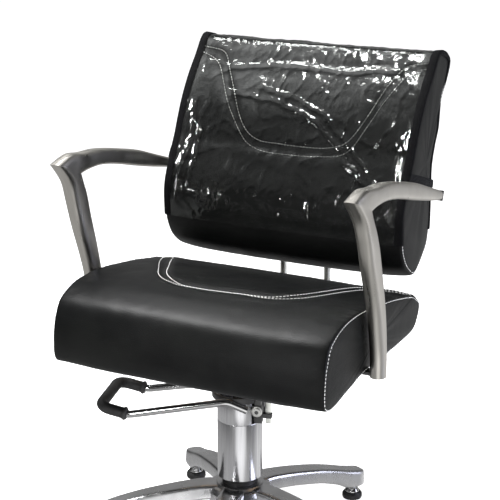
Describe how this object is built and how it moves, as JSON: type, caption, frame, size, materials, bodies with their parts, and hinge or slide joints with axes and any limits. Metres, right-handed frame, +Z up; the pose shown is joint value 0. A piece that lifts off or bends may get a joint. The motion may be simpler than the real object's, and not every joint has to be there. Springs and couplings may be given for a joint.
{
  "type": "hydraulic salon styling chair",
  "caption": "Salon styling chair on a foot-pumped hydraulic column with star base, bent steel armrests, black upholstery and a clear slip-on backrest cover.",
  "frame": {"origin": "on the floor, on the axis of the column", "axes": "+Z up, the sitter faces -Y, +X is the sitter's left-hand side"},
  "size_m": [0.5949, 0.6713, 0.8859],
  "materials": {
    "cast_aluminium": "polished casting",
    "chrome": "bright plated",
    "satin_steel": "satin brushed tube",
    "plain_steel": "zinc plated or bare",
    "black_steel": "semi-gloss black paint",
    "bronze": "bearing bronze",
    "black_rubber": "moulded",
    "black_plastic": "moulded",
    "plywood": "bare plywood",
    "black_leather": "soft semi-gloss coated upholstery, white stitching",
    "clear_vinyl": "clear soft sheet",
    "black_binding": "woven binding tape and elastic"
  },
  "bodies": {
    "base": {"star_base": "cast_aluminium", "foot_stems": "plain_steel", "foot_cups": "chrome", "foot_pads": "black_rubber", "column_seal": "black_rubber", "column_jacket": "chrome", "reservoir_floor": "plain_steel", "pump_collar": "chrome", "pump_cylinder": "plain_steel", "base_washer": "plain_steel", "base_nut": "plain_steel", "pump_head": "black_steel", "gland_bush": "bronze", "pivot_pin": "plain_steel", "pivot_washers": "chrome", "pivot_bolt_heads": "plain_steel", "stop_rod": "chrome", "stop_rod_clip": "black_steel"},
    "lever": {"lever_yoke": "black_steel", "lever_rod": "chrome", "lever_grip": "black_rubber"},
    "plunger": {"plunger": "plain_steel", "plunger_cap": "plain_steel", "plunger_spring": "plain_steel"},
    "ram": {"ram": "chrome", "ram_piston": "plain_steel", "piston_seal": "black_rubber", "thrust_washer": "bronze"},
    "seat": {"seat_socket": "black_steel", "seat_saddle": "black_steel", "saddle_bolts": "plain_steel", "seat_frame": "black_steel", "seat_board": "plywood", "board_screws": "plain_steel", "seat_cushion": "black_leather", "arm_left": "satin_steel", "arm_right": "satin_steel", "arm_tabs": "black_steel", "arm_tab_bolts": "plain_steel", "arm_end_caps": "black_plastic", "arm_foot_caps": "black_plastic", "arm_spacers": "black_plastic", "arm_studs": "plain_steel", "back_tube_left": "chrome", "back_tube_right": "chrome", "tube_collars": "black_steel", "back_frame": "plywood", "back_cushion": "black_leather", "cover_front": "clear_vinyl", "cover_rear": "clear_vinyl", "cover_binding_left": "black_binding", "cover_binding_right": "black_binding", "cover_strap_left": "black_binding", "cover_strap_right": "black_binding"}
  },
  "joints": [
    {"name": "lever_press", "type": "hinge", "parent": "base", "child": "lever", "pos_m": [0.03653, 0.01047, 0.266], "axis": [0.2756, -0.9613, 0], "range_deg": [0, 18], "stiffness_Nm_per_rad": 6, "springref_deg": -25.78},
    {"name": "plunger_stroke", "type": "slide", "parent": "base", "child": "plunger", "axis": [0, 0, -1], "range_m": [0, 0.0044], "deforming": ["plunger_spring"]},
    {"name": "height", "type": "slide", "parent": "base", "child": "ram", "axis": [0, 0, 1], "range_m": [0, 0.125]},
    {"name": "swivel", "type": "hinge", "parent": "ram", "child": "seat", "pos_m": [0, 0, 0.322], "axis": [0, 0, 1], "continuous": true}
  ],
  "couplings": [
    {"joint": "plunger_stroke", "follows": "lever_press", "m_per_rad": 0.0137}
  ]
}
